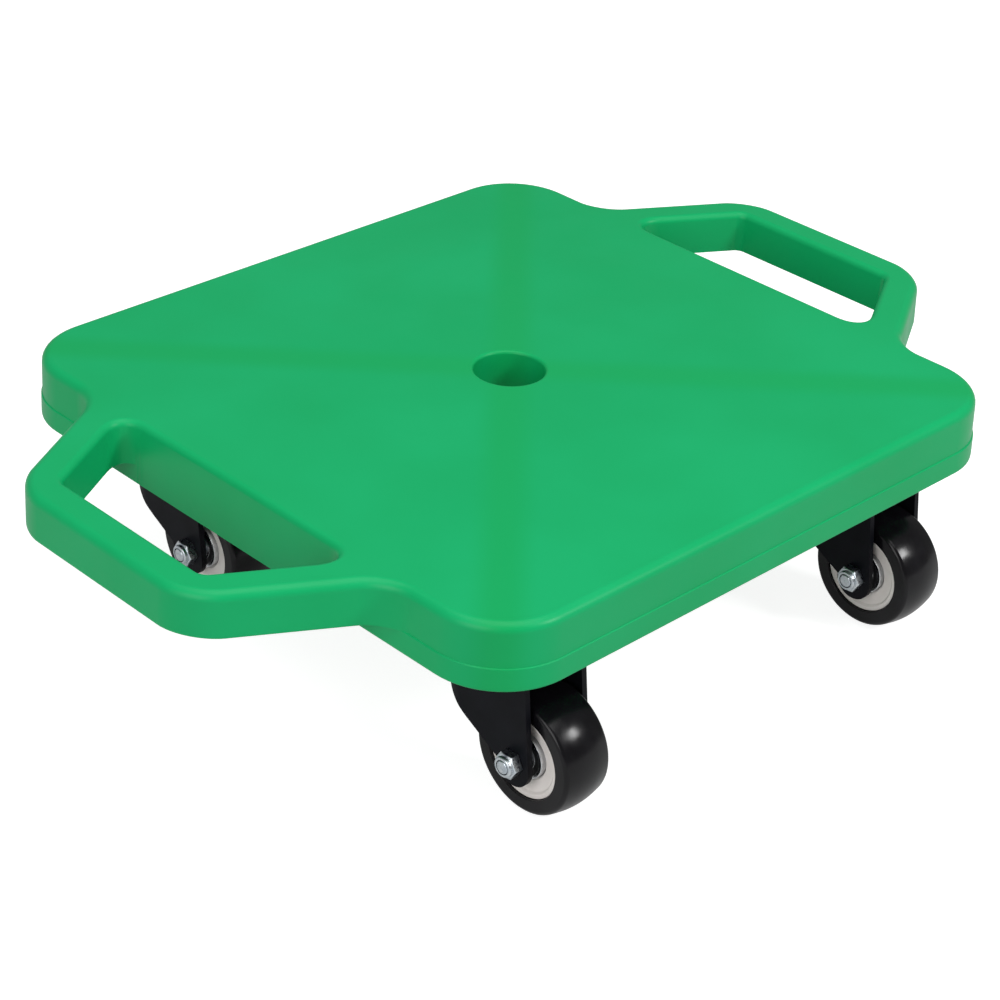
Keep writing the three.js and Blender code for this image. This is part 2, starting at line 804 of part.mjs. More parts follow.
// A lock nut: a hexagon with a round collar on its outer end.
function axleNut() {
  const hexEnd = -legOutside - nutHexHeight;
  const collarEnd = hexEnd - nutCollarHeight;
  const bore = axleRadius + holeGap;
  const hex = [
    [0, hexEnd],
    [hexRadius - axleChamfer, hexEnd],
    [hexRadius, hexEnd + axleChamfer],
    [hexRadius, -legOutside],
    [0, -legOutside],
  ];
  const collar = [
    [0, collarEnd],
    [nutCollarRadius - axleChamfer, collarEnd],
    [nutCollarRadius, collarEnd + axleChamfer],
    [nutCollarRadius, -legOutside],
    [0, -legOutside],
  ];
  const hole = [
    [0, -axleEnd - overrun],
    [bore, -axleEnd - overrun],
    [bore, 0],
    [0, 0],
  ];
  const body = solid(turned(hex, "x", hexSides)).add(solid(turned(collar, "x", axleSteps)));
  return body.subtract(solid(turned(hole, "x", axleSteps)));
}

// A pan-head screw that comes up through the plate into its boss.
function mountingScrew() {
  const seat = plateTop - plateThickness - seatGap;
  const end = seat + screwLength;
  return turned(
    [
      [0, seat - screwHeadHeight],
      [screwHeadTopRadius, seat - screwHeadHeight],
      [screwHeadRadius, seat],
      [screwRadius, seat],
      [screwRadius, end - screwTipLength],
      [0, end],
    ],
    "z",
    screwSteps,
  );
}

// Assembly

function piece(name, geometry, material) {
  const mesh = new THREE.Mesh(geometry, material);
  mesh.name = name;
  return mesh;
}

const plateGeometry = geometryOf(topPlate());
const ballGeometry = geometryOf(swivelBalls());
const forkGeometry = geometryOf(fork());
const boltGeometry = geometryOf(axleBolt());
const nutGeometry = geometryOf(axleNut());
const turnedGeometry = (geometry) => geometryOf(solid(geometry));
const kingpinGeometry = turnedGeometry(kingpin());
const treadGeometry = turnedGeometry(wheelTread());
const coreGeometry = turnedGeometry(wheelCore());
const bearingGeometry = turnedGeometry(bearing());
const screwGeometry = turnedGeometry(mountingScrew());

function wheel(name) {
  const group = new THREE.Group();
  group.position.set(0, -trail, axleLevel);
  const leftBearing = piece(`${name}_bearing_left`, bearingGeometry, materials.bearing);
  leftBearing.rotation.z = Math.PI;
  group.add(
    piece(`${name}_wheel_tread`, treadGeometry, materials.tread),
    piece(`${name}_wheel_core`, coreGeometry, materials.core),
    leftBearing,
    piece(`${name}_bearing_right`, bearingGeometry, materials.bearing),
    piece(`${name}_axle_bolt`, boltGeometry, materials.zinc),
    piece(`${name}_axle_nut`, nutGeometry, materials.zinc),
  );
  return group;
}

function caster({ name, x, y }) {
  const group = new THREE.Group();
  group.position.set(x, y, 0);
  group.add(
    piece(`${name}_top_plate`, plateGeometry, materials.blackSteel),
    piece(`${name}_swivel_balls`, ballGeometry, materials.ballSteel),
    piece(`${name}_kingpin`, kingpinGeometry, materials.zinc),
    piece(`${name}_fork`, forkGeometry, materials.blackSteel),
    wheel(name),
  );
  screwPlaces.forEach((place, i) => {
    const screw = piece(`${name}_screw_${i + 1}`, screwGeometry, materials.zinc);
    screw.position.set(place.x, place.y, 0);
    group.add(screw);
  });
  return group;
}

const scooterBoard = new THREE.Group();
scooterBoard.position.y = deckOffsetY;
scooterBoard.add(piece("deck", geometryOf(deck()), materials.deck));
scooterBoard.add(...casterPlaces.map(caster));

export default scooterBoard;
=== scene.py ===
# %% [markdown]
# # A scooter board with moulded deck and swivel casters
# The board is a plastic deck, moulded in one piece with its two handles. It stands on four
# small swivel casters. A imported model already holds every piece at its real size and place.
# This lesson gives each piece its smooth surface and its finish, around that model.

# %% Load the measured model
import math
import bmesh
import bpy
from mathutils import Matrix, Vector


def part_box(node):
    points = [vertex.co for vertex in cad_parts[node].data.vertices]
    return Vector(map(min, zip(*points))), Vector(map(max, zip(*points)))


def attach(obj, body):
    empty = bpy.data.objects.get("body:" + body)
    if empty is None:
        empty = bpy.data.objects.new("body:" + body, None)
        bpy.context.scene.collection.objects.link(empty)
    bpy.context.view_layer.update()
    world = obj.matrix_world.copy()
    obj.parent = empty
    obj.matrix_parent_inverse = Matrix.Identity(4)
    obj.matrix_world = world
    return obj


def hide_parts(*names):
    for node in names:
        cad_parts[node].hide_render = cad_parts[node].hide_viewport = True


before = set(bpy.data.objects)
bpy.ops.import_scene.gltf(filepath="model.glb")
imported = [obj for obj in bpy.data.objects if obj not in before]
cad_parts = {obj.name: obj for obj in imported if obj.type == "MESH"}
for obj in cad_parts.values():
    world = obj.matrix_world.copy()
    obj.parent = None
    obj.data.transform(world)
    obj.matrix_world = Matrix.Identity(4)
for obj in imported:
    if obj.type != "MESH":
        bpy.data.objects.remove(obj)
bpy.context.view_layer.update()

# %% [markdown]
# ## Where things are
# Blender works in metres, so sizes in millimetres are multiplied by MM. The deck's own box
# gives its middle and its levels, and the rivet of each caster stands on its swivel axis.

# %% Places and levels
MM = 0.001
CASTERS = ("front_left", "front_right", "rear_left", "rear_right")
deck_low, deck_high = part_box("deck")
RIM = deck_low.z
TOP = deck_high.z
MIDDLE = Vector(((deck_low.x + deck_high.x) / 2, (deck_low.y + deck_high.y) / 2, 0))
swivels = {}
for caster in CASTERS:
    low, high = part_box(caster + "_kingpin")
    swivels[caster] = Vector(((low.x + high.x) / 2, (low.y + high.y) / 2, 0))
print("deck from", round(RIM / MM, 1), "to", round(TOP / MM, 1), "mm above the floor")

# %% [markdown]
# ## Helpers for working in edit mode
# Each step of modelling picks some points, edges or faces by their place and then runs one
# operator on them, as a hand would. These two helpers open a mesh and pick in it.

# %% Open a mesh and pick in it
def edit(piece):
    """Opens one piece alone in edit mode, with nothing in it picked."""
    if bpy.context.mode != "OBJECT":
        bpy.ops.object.mode_set(mode="OBJECT")
    bpy.ops.object.select_all(action="DESELECT")
    bpy.context.view_layer.objects.active = piece
    piece.select_set(True)
    bpy.ops.object.mode_set(mode="EDIT")
    bpy.ops.mesh.select_all(action="DESELECT")


def pick(piece, kind, test):
    """Picks the points, edges or faces of the open mesh that pass a test."""
    bpy.ops.mesh.select_mode(type=kind)
    bpy.ops.mesh.select_all(action="DESELECT")
    mesh = bmesh.from_edit_mesh(piece.data)
    for part in {"VERT": mesh.verts, "EDGE": mesh.edges, "FACE": mesh.faces}[kind]:
        part.select_set(test(part))
    mesh.select_flush_mode()
    bmesh.update_edit_mesh(piece.data)


def close():
    """Leaves edit mode."""
    bpy.ops.object.mode_set(mode="OBJECT")


# %% [markdown]
# ## Flat outlines with rounded corners
# A mould maker starts from a drawing of the outline, with a radius at each corner. Here a
# filled circle of a few points becomes that outline: each point goes to its corner, and
# bevelling the point alone rounds the corner. An outline can also be grown, so that a wall
# inside it keeps the same thickness all the way round.

# %% Outlines
def grown(corners, by):
    """The same outline with every side moved outwards. Rounded corners keep their middle."""
    places = [Vector(corner[:2]) for corner in corners]
    result = []
    for i, (x, y, radius) in enumerate(corners):
        arriving = (places[i] - places[i - 1]).normalized()
        leaving = (places[(i + 1) % len(places)] - places[i]).normalized()
        outward, next_outward = Vector((arriving.y, -arriving.x)), Vector((leaving.y, -leaving.x))
        shift = (outward + next_outward) / (1 + outward.dot(next_outward)) * by
        change = by if arriving.cross(leaving) > 0 else -by
        result.append((x + shift.x, y + shift.y, max(radius + change, 0) if radius else 0))
    return result


def outline(name, corners, level, steps=12):
    """A flat sheet. Its corners are (x, y, radius), counter-clockwise."""
    bpy.ops.object.select_all(action="DESELECT")
    bpy.ops.mesh.primitive_circle_add(vertices=len(corners), radius=1, fill_type="NGON")
    sheet = bpy.context.object
    sheet.name = name
    places = [Vector((x, y, level)) for x, y, _ in corners]
    for point, place in zip(sheet.data.vertices, places):
        point.co = place
    edit(sheet)
    for i, place in enumerate(places):
        turn = (place - places[i - 1]).angle(places[(i + 1) % len(places)] - place)
        reach = corners[i][2] * math.tan(turn / 2)
        if reach:
            pick(sheet, "VERT", lambda point: (point.co - place).length < 1e-6)
            bpy.ops.mesh.bevel(offset=reach, segments=steps, affect="VERTICES")
    close()
    return sheet


def rectangle(x, y, length, width, radius=0):
    """Corners of a rectangle about a middle."""
    half, side = length / 2, width / 2
    signs = ((-1, -1), (1, -1), (1, 1), (-1, 1))
    return [(x + i * half, y + j * side, radius) for i, j in signs]


# %% [markdown]
# ## From an outline to a solid
# Extruding the outline gives a slab. Its end face can then be inset and raised in small
# steps, which makes a drafted wall, a chamfer or a rounded edge with even facets all round.
# Turned pieces, such as wheels, start from one point that is extruded along the profile.
# Bevelling a point of the profile rounds that edge, and spin turns the profile about the axle.

# %% Slabs, rounded edges and turned pieces
def thicken(sheet, height):
    """Gives a flat sheet its height and points its faces outwards."""
    edit(sheet)
    bpy.ops.mesh.select_all(action="SELECT")
    bpy.ops.mesh.extrude_region_move(TRANSFORM_OT_translate={"value": (0, 0, height)})
    bpy.ops.mesh.select_all(action="SELECT")
    bpy.ops.mesh.normals_make_consistent(inside=False)
    close()
    return sheet


def rounding(radius, steps=6):
    """Inset and rise of each step of a quarter round, from an upright wall to a flat end."""
    turns = [math.pi / 2 * i / steps for i in range(steps + 1)]
    return [(radius * (math.cos(a) - math.cos(b)), radius * (math.sin(b) - math.sin(a)))
            for a, b in zip(turns, turns[1:])]


def finish_end(solid, side, steps):
    """Insets and raises the end face of a solid: side 1 is its upper end, -1 its lower."""
    edit(solid)
    ends = [side * point.co.z for point in bmesh.from_edit_mesh(solid.data).verts]
    pick(solid, "FACE", lambda face: side * face.normal.z > 0.9
         and side * face.calc_center_median().z > max(ends) - 1e-6)
    for inward, rise in steps:
        bpy.ops.mesh.inset(thickness=inward, depth=rise, use_even_offset=True)
    close()
    return solid


def turned(name, profile, axis="X", middle=(0, 0, 0), steps=96):
    """A solid of revolution. Its profile is (radius, place along the axis, rounding)."""
    middle = Vector(middle)
    along = Vector((1, 0, 0)) if axis == "X" else Vector((0, 0, 1))
    out = Vector((0, 0, 1)) if axis == "X" else Vector((1, 0, 0))
    places = [middle + out * radius + along * place for radius, place, _ in profile]
    bpy.ops.object.select_all(action="DESELECT")
    bpy.ops.mesh.primitive_plane_add(size=MM)
    piece = bpy.context.object
    piece.name = name
    edit(piece)
    bpy.ops.mesh.select_all(action="SELECT")
    bpy.ops.mesh.merge(type="CENTER")
    bpy.ops.mesh.select_mode(type="VERT")
    bpy.ops.mesh.select_all(action="SELECT")
    bpy.ops.transform.translate(value=places[0])
    steps_along = [b - a for a, b in zip(places, places[1:])]
    if profile[0][0] > 0:
        steps_along.append(places[0] - places[-1])
    for step in steps_along:
        bpy.ops.mesh.extrude_vertices_move(TRANSFORM_OT_translate={"value": step})
    bpy.ops.mesh.select_all(action="SELECT")
    bpy.ops.mesh.remove_doubles(threshold=1e-6)
    for place, (_, _, radius) in zip(places, profile):
        if radius:
            round_point(piece, place, radius)
    bpy.ops.mesh.select_all(action="SELECT")
    bpy.ops.mesh.spin(steps=steps, angle=2 * math.pi, center=middle, axis=along)
    bpy.ops.mesh.select_all(action="SELECT")
    bpy.ops.mesh.remove_doubles(threshold=1e-6)
    bpy.ops.mesh.normals_make_consistent(inside=False)
    close()
    return piece


def rod(radius, low, high):
    """The profile of a plain round bar, as turned() takes it."""
    return [(0, low, 0), (radius, low, 0), (radius, high, 0), (0, high, 0)]


def round_point(piece, place, radius, steps=4):
    """Rounds one point of an open profile."""
    mesh = bmesh.from_edit_mesh(piece.data)
    point = min(mesh.verts, key=lambda vert: (vert.co - place).length)
    arms = [edge.other_vert(point).co - point.co for edge in point.link_edges]
    turn = math.pi - arms[0].angle(arms[1])
    pick(piece, "VERT", lambda vert: vert == point)
    reach = radius * math.tan(turn / 2)
    bpy.ops.mesh.bevel(offset=reach, segments=steps, affect="VERTICES", clamp_overlap=True)


# %% [markdown]
# ## Cutting, joining and smooth shading
# Openings are cut with a second solid of their shape, as a core does it in the mould. After
# the cuts, a narrow bevel takes the sharpness off the edges that light would catch, faces
# that meet at a small angle are shaded as one, and large flat faces keep their flat look
# because the weighted normals follow them.

# %% Booleans and shading
def combine(piece, other, how="DIFFERENCE"):
    """Cuts, joins or intersects a piece with another solid, which is used up."""
    tool = piece.modifiers.new("combine", "BOOLEAN")
    tool.object, tool.operation, tool.solver = other, how, "EXACT"
    bpy.ops.object.select_all(action="DESELECT")
    bpy.context.view_layer.objects.active = piece
    bpy.ops.object.modifier_apply(modifier=tool.name)
    bpy.data.objects.remove(other)
    return piece


def merged(pieces):
    """Several solids that don't touch, as one object."""
    bpy.ops.object.select_all(action="DESELECT")
    for piece in pieces:
        piece.select_set(True)
    bpy.context.view_layer.objects.active = pieces[0]
    if len(pieces) > 1:
        bpy.ops.object.join()
    return pieces[0]


def soften(piece, width=0, angle=35):
    """Bevels the sharp edges by a width and shades the rest smooth."""
    bpy.ops.object.select_all(action="DESELECT")
    piece.select_set(True)
    bpy.context.view_layer.objects.active = piece
    if width:
        bevel = piece.modifiers.new("bevel", "BEVEL")
        bevel.width, bevel.segments, bevel.limit_method = width, 2, "ANGLE"
        bevel.angle_limit = math.radians(angle)
        bpy.ops.object.modifier_apply(modifier=bevel.name)
    bpy.ops.object.shade_smooth_by_angle(angle=math.radians(angle))
    weights = piece.modifiers.new("weights", "WEIGHTED_NORMAL")
    weights.keep_sharp = True
    bpy.ops.object.modifier_apply(modifier=weights.name)
    return piece


def moved_copy(piece, name, shift):
    """A copy with its own mesh, whose place is in that mesh."""
    copy = piece.copy()
    copy.data = piece.data.copy()
    copy.name = name
    bpy.context.scene.collection.objects.link(copy)
    bpy.ops.object.select_all(action="DESELECT")
    bpy.context.view_layer.objects.active = copy
    copy.select_set(True)
    copy.location = shift
    bpy.ops.object.transform_apply(location=True, rotation=False, scale=False)
    return copy


# %% [markdown]
# ## The deck: its outside
# The deck is one injection moulding of polypropylene, 291 by 292 mm, with a trapezoid handle
# on each side. The mould parts 18.5 mm below the top: the handles and the upper band come from
# one half, and the lower band of the skirt, which stands half a millimetre proud, from the
# other. Two slabs with inset ends are joined, so that step stays as a fine line.

# %% Deck outline
DECK_LENGTH, DECK_WIDTH, CORNER = 291 * MM, 292 * MM, 31 * MM
HANDLE_REACH, HANDLE_BASE, HANDLE_BAR = 64 * MM, 178 * MM, 103.5 * MM
ROOT, BEND = 21 * MM, 26 * MM
GRIP = 15.3 * MM
PARTING = TOP - 18.5 * MM
SKIN = TOP - 3.5 * MM
FLARE = 0.8 * MM
DRAFT = FLARE / (27.7 * MM)
STEP = 0.5 * MM
TOP_EDGE = 4 * MM
side_x, end_x = DECK_LENGTH / 2, DECK_LENGTH / 2 + HANDLE_REACH
lean = (HANDLE_BASE - HANDLE_BAR) / 2 / HANDLE_REACH


def leg_y(x):
    """Half the width over a handle's outer sides, at a distance from the deck's middle."""
    return HANDLE_BASE / 2 - (x - side_x) * lean


half = [
    (side_x, -DECK_WIDTH / 2, CORNER),
    (side_x, -leg_y(side_x), ROOT),
    (end_x, -leg_y(end_x), BEND),
    (end_x, leg_y(end_x), BEND),
    (side_x, leg_y(side_x), ROOT),
    (side_x, DECK_WIDTH / 2, CORNER),
]
centred = half + [(-x, -y, radius) for x, y, radius in half]
upper_corners = [(x, y + MIDDLE.y, radius) for x, y, radius in centred]
body_corners = rectangle(0, MIDDLE.y, DECK_LENGTH, DECK_WIDTH, CORNER)
print("over the handles:", round(2 * end_x / MM, 1), "mm")

# %% Deck outside
wall_top = TOP - TOP_EDGE
spread = DRAFT * (TOP - PARTING)
deck = outline("deck_moulding", grown(upper_corners, spread), PARTING, 16)
thicken(deck, MM)
finish_end(deck, 1, [(spread - DRAFT * TOP_EDGE, wall_top - PARTING - MM)]
           + rounding(TOP_EDGE, 8))
finish_end(deck, -1, rounding(0.4 * MM, 2))

RIM_EDGE = 0.8 * MM
proud = FLARE + STEP
band = outline("band", grown(body_corners, proud), RIM + RIM_EDGE, 16)
thicken(band, MM)
climb = PARTING - RIM - RIM_EDGE - 0.9 * MM
finish_end(band, 1, [(DRAFT * climb, climb)] + rounding(STEP, 3) + [(2 * MM, 3 * MM)])
finish_end(band, -1, rounding(RIM_EDGE, 3))
combine(deck, band, "UNION")
print("deck outside:", len(deck.data.polygons), "faces")

# %% [markdown]
# ## The deck: hand holes and centre hole
# A hand hole is a trapezoid one grip width inside the handle. Its upper edge is rounded so
# that it doesn't cut into the fingers. The cutter is made upside down: it starts from the
# wide mouth above the top and is inset on its way down, which leaves the rounded edge. Its
# sides then close in by 1 mm, the draft that lets the moulding slide off its core.

# %% Holes through the deck
HAND_EDGE = 3 * MM
bar_x = end_x - GRIP
across = GRIP * math.hypot(1, lean)
grip_half = [
    (side_x, -leg_y(side_x) + across, 9 * MM),
    (bar_x, -leg_y(bar_x) + across, 5 * MM),
    (bar_x, leg_y(bar_x) - across, 5 * MM),
    (side_x, leg_y(side_x) - across, 9 * MM),
]


def on_side(corners, side):
    """A handle's outline on the right (1) or, turned half round, on the left (-1)."""
    return [(side * x, side * y + MIDDLE.y, radius) for x, y, radius in corners]


for side in (1, -1):
    mouth = outline("mouth", grown(on_side(grip_half, side), HAND_EDGE), TOP + MM, 12)
    thicken(mouth, MM)
    flare = list(reversed(rounding(HAND_EDGE, 6)))
    finish_end(mouth, -1, [(0.0001 * MM, MM)] + flare + [(MM, 30 * MM)])
    combine(deck, mouth)

HOLE, LIP = 15 * MM, 1.5 * MM
hole_edge = [(HOLE + LIP * (1 - math.cos(a)), TOP - LIP + LIP * math.sin(a), 0)
             for a in [math.pi / 2 * i / 6 for i in range(7)]]
hole_profile = [(0, RIM - MM, 0), (HOLE, RIM - MM, 0), *hole_edge,
                (HOLE + LIP, TOP + MM, 0), (0, TOP + MM, 0)]
combine(deck, turned("hole", hole_profile, "Z", MIDDLE))
print("with its holes:", len(deck.data.polygons), "faces")

# %% [markdown]
# ## The deck: ribs underneath
# A moulding this large is a thin skin with ribs, or it would sink and warp. A sheet as large
# as the hollow is bisected on both sides of every rib, the strips between the cuts are
# deleted, and what is left is extruded into cores that hollow the deck out between its ribs.
# Two of the ribs run from corner to corner. The pads over the casters are cut from the cores.

# %% Cores between the ribs
RIB = 2.2 * MM
CELLS = 4
WALL = 3.2 * MM
RIB_RECESS = 10 * MM
SLIVER = 8 * MM * MM
PAD = 63 * MM
inside = grown(body_corners, -WALL)
pitch_x = (DECK_LENGTH / 2 - WALL) / CELLS
pitch_y = (DECK_WIDTH / 2 - WALL) / CELLS
slant = Vector((DECK_WIDTH, -DECK_LENGTH, 0)).normalized()
lines = [(Vector((i * pitch_x, 0, 0)), Vector((1, 0, 0))) for i in range(1 - CELLS, CELLS)]
lines += [(Vector((0, i * pitch_y, 0)), Vector((0, 1, 0))) for i in range(1 - CELLS, CELLS)]
lines += [(Vector(), slant), (Vector(), Vector((-slant.x, slant.y, 0)))]

cores = outline("cores", inside, SKIN, 10)
edit(cores)
for place, normal in lines:
    for side in (-1, 1):
        bpy.ops.mesh.select_all(action="SELECT")
        bpy.ops.mesh.bisect(plane_co=MIDDLE + place + side * RIB / 2 * normal, plane_no=normal)
pick(cores, "FACE", lambda face: any(
    abs((face.calc_center_median() - MIDDLE - place).dot(normal)) < RIB / 2
    for place, normal in lines))
bpy.ops.mesh.delete(type="FACE")
pick(cores, "FACE", lambda face: face.calc_area() < SLIVER)
bpy.ops.mesh.delete(type="FACE")
bpy.ops.mesh.select_all(action="SELECT")
bpy.ops.mesh.edge_split(type="EDGE")
close()
thicken(cores, RIM + RIB_RECESS - MM - SKIN)
hollow = thicken(outline("hollow", grown(inside, 1 * MM), RIM - MM, 10), MM + RIB_RECESS)


def pads(size):
    """Square blocks over the four casters."""
    return [thicken(outline("pad", rectangle(place.x, place.y, size, size), RIM - 2 * MM),
                    TOP - RIM + 4 * MM) for place in swivels.values()]


TUBE = HOLE + 3 * MM
tube_profile = rod(TUBE, RIM - 2 * MM, TOP)
for core in (cores, hollow):
    combine(core, merged(pads(PAD) + [turned("tube", tube_profile, "Z", MIDDLE, 64)]))
    combine(deck, core)
print("deck hollowed between its ribs:", len(deck.data.polygons), "faces")

# %% [markdown]
# ## The deck: caster pads and handle ribs
# Each caster is screwed to a square pad, level with the skirt's rim, with a cross inside and
# four round bosses that hold the screws. The handles are open below too, with short ribs
# across the bar and the legs. The same way of cutting makes both.

# %% Pads, bosses and handle ribs
SCREW_REACH = 22 * MM
SCREW_PLACES = [(i * SCREW_REACH, j * SCREW_REACH) for i in (-1, 1) for j in (-1, 1)]
BOSS, PILOT, PILOT_DEPTH = 5.5 * MM, 2.15 * MM, 17 * MM
opening = (PAD - 2 * WALL - RIB) / 2
offset = (opening + RIB) / 2
for place in swivels.values():
    quarters = [thicken(outline("quarter", rectangle(place.x + i * offset, place.y + j * offset,
                opening, opening, 2 * MM), SKIN, 4), RIM - MM - SKIN)
                for i in (-1, 1) for j in (-1, 1)]
    boss = rod(BOSS, RIM - 2 * MM, TOP)
    bosses = [turned("boss", boss, "Z", (place.x + x, place.y + y, 0), 24)
              for x, y in SCREW_PLACES]
    combine(deck, combine(merged(quarters), merged(bosses)))
    pilot = [(0, RIM - MM, 0), (PILOT, RIM - MM, 0), (PILOT, RIM + PILOT_DEPTH, 0),
             (0, RIM + PILOT_DEPTH + 0.8 * MM, 0)]
    pilots = [turned("pilot", pilot, "Z", (place.x + x, place.y + y, 0), 20)
              for x, y in SCREW_PLACES]
    combine(deck, merged(pilots))

start_x = side_x + proud - 3 * MM
HANDLE_WALL, BAR_RIB_PITCH = 3 * MM, 19 * MM
shell = [
    (start_x, -leg_y(start_x), 8 * MM),
    (end_x, -leg_y(end_x), BEND),
    (end_x, leg_y(end_x), BEND),
    (start_x, leg_y(start_x), 8 * MM),
]
for side in (1, -1):
    core = thicken(outline("core", grown(on_side(shell, side), -HANDLE_WALL), PARTING - MM, 10),
                   SKIN - PARTING + MM)
    inner = grown(on_side(grip_half, side), HANDLE_WALL)
    combine(core, thicken(outline("inner", inner, PARTING - 2 * MM, 10), 24 * MM))
    ribs = []
    for i in range(5):
        place = MIDDLE + Vector((side * (end_x - GRIP / 2), (i - 2) * BAR_RIB_PITCH, 0))
        ribs.append(outline("rib", rectangle(place.x, place.y, GRIP, RIB), PARTING + 2 * MM))
    for share in (0.36, 0.7):
        for up in (1, -1):
            x = side_x + share * HANDLE_REACH
            place = Vector((side * x, up * (leg_y(x) - across / 2) + MIDDLE.y, 0))
            rib = outline("rib", rectangle(0, 0, RIB, GRIP), PARTING + 2 * MM)
            rib.rotation_euler.z = -side * up * math.atan(lean)
            rib.location = place
            bpy.ops.object.transform_apply(location=True, rotation=True, scale=False)
            ribs.append(rib)
    combine(core, merged([thicken(rib, SKIN - PARTING) for rib in ribs]))
    combine(deck, core)
soften(deck, 0, 32)
print("finished deck:", len(deck.data.polygons), "faces")

# %% [markdown]
# ## The caster's head: plate, balls and rivet
# A caster is bought in. Its plate is a square of sheet steel with a round dish pressed into
# it. Eight balls run between the dish and the fork's crown, and a rivet with a wide foot
# holds the fork up against them. One caster is modelled about the swivel axis, and copied.

# %% Plate, ball ring and rivet
PLATE_SIZE, PLATE_SHEET, DISH_DEPTH = 60 * MM, 2.4 * MM, 3.4 * MM
RIVET_BORE, SCREW_BORE = 4.8 * MM, 2.6 * MM
plate_top = RIM - 0.2 * MM
sheet_under = plate_top - PLATE_SHEET
dish_floor = plate_top - DISH_DEPTH
dish_under = dish_floor - PLATE_SHEET
ball_level = dish_under - 1.15 * MM
crown_top = dish_under - 2.3 * MM
SHEET = 2.5 * MM
crown_under = crown_top - SHEET
RACE, TRACK, BALL = 13.5 * MM, 2.2 * MM, 2 * MM


def groove(name):
    """The round track that the balls run in."""
    ring = [(RACE + TRACK * math.cos(a), ball_level + TRACK * math.sin(a), 0)
            for a in [math.pi / 8 * i for i in range(16)]]
    return turned(name, ring, "Z", steps=64)


plate_corners = rectangle(0, 0, PLATE_SIZE, PLATE_SIZE, 8 * MM)
plate = thicken(outline("plate", plate_corners, sheet_under, 8), PLATE_SHEET)
dish = [(0, dish_under, 0), (18.5 * MM, dish_under, 1.6 * MM),
        (20.5 * MM, sheet_under, 0.8 * MM), (21.6 * MM, sheet_under + MM, 0),
        (0, sheet_under + MM, 0)]
combine(plate, turned("dish", dish, "Z", steps=80), "UNION")
bowl = [(0, dish_floor, 0), (16.1 * MM, dish_floor, MM), (18.1 * MM, plate_top, 0),
        (18.1 * MM, plate_top + MM, 0), (0, plate_top + MM, 0)]
combine(plate, turned("bowl", bowl, "Z", steps=80))
bore = rod(RIVET_BORE, dish_under - MM, plate_top)
combine(plate, turned("bore", bore, "Z", steps=40))
screw_hole = rod(SCREW_BORE, RIM - 9 * MM, RIM + MM)
combine(plate, merged([turned("hole", screw_hole, "Z", (x, y, 0), 32)
                       for x, y in SCREW_PLACES]))
combine(plate, groove("track"))
soften(plate, 0.25 * MM)

cage = [(RACE + x * 0.8 * MM, ball_level + z * 0.4 * MM, 0)
        for x, z in ((-1, -1), (1, -1), (1, 1), (-1, 1))]
ball_ring = turned("ball_ring", cage, "Z", steps=64)
balls = []
for i in range(8):
    bpy.ops.object.select_all(action="DESELECT")
    angle = i * math.pi / 4
    spot = Vector((RACE * math.cos(angle), RACE * math.sin(angle), ball_level))
    bpy.ops.mesh.primitive_uv_sphere_add(segments=24, ring_count=12, radius=BALL, location=spot)
    bpy.ops.object.transform_apply(location=True, rotation=False, scale=False)
    balls.append(bpy.context.object)
combine(ball_ring, merged(balls), "UNION")
soften(ball_ring, 0, 40)

head = dish_floor + 0.2 * MM
foot = crown_under - 0.3 * MM
rivet = turned("rivet", [
    (0, foot - 3.4 * MM, 0), (5.5 * MM, foot - 3.4 * MM, MM), (5.5 * MM, foot - 2 * MM, 0),
    (8.5 * MM, foot - 2 * MM, 0.4 * MM), (8.5 * MM, foot, 0.4 * MM), (4.5 * MM, foot, 0),
    (4.5 * MM, head, 0), (7.5 * MM, head, 0.3 * MM), (6.5 * MM, head + 2 * MM, 0.8 * MM),
    (0, head + 2 * MM, 0)], "Z", steps=64)
soften(rivet, 0, 40)
print("head pieces:", [len(piece.data.polygons) for piece in (plate, ball_ring, rivet)])

# %% [markdown]
# ## The fork
# The fork is pressed from 2.5 mm sheet steel. From above it is a U: two straight legs and a
# round back. Its crown carries the lower track of the balls. The U is made as a shell from
# two slabs with rounded upper ends. A second solid, extruded from the side view of a leg,
# keeps only what lies inside that outline, as the blanking tool does before the bending.

# %% Fork
AXLE = 25.4 * MM
TRAIL = 28.8 * MM
EAR, EAR_DROP = 8.4 * MM, 2 * MM
NOSE = 32.5 * MM
WIDTH = 32 * MM
BACK = 15.8 * MM
AXLE_BORE = 3.1 * MM

u_outside = [(-WIDTH / 2, -60 * MM, 0), (WIDTH / 2, -60 * MM, 0),
             (WIDTH / 2, WIDTH / 2, BACK), (-WIDTH / 2, WIDTH / 2, BACK)]
fork = thicken(outline("fork", u_outside, 8 * MM, 24), crown_top - 11.5 * MM)
finish_end(fork, 1, rounding(3.5 * MM, 6))
inside_u = [(x * (1 - 2 * SHEET / WIDTH), y * 2 if y < 0 else y - SHEET, max(radius - SHEET, 0))
            for x, y, radius in u_outside]
space = thicken(outline("space", inside_u, 6 * MM, 24), crown_under - 7 * MM)
finish_end(space, 1, rounding(MM, 4))
combine(fork, space)

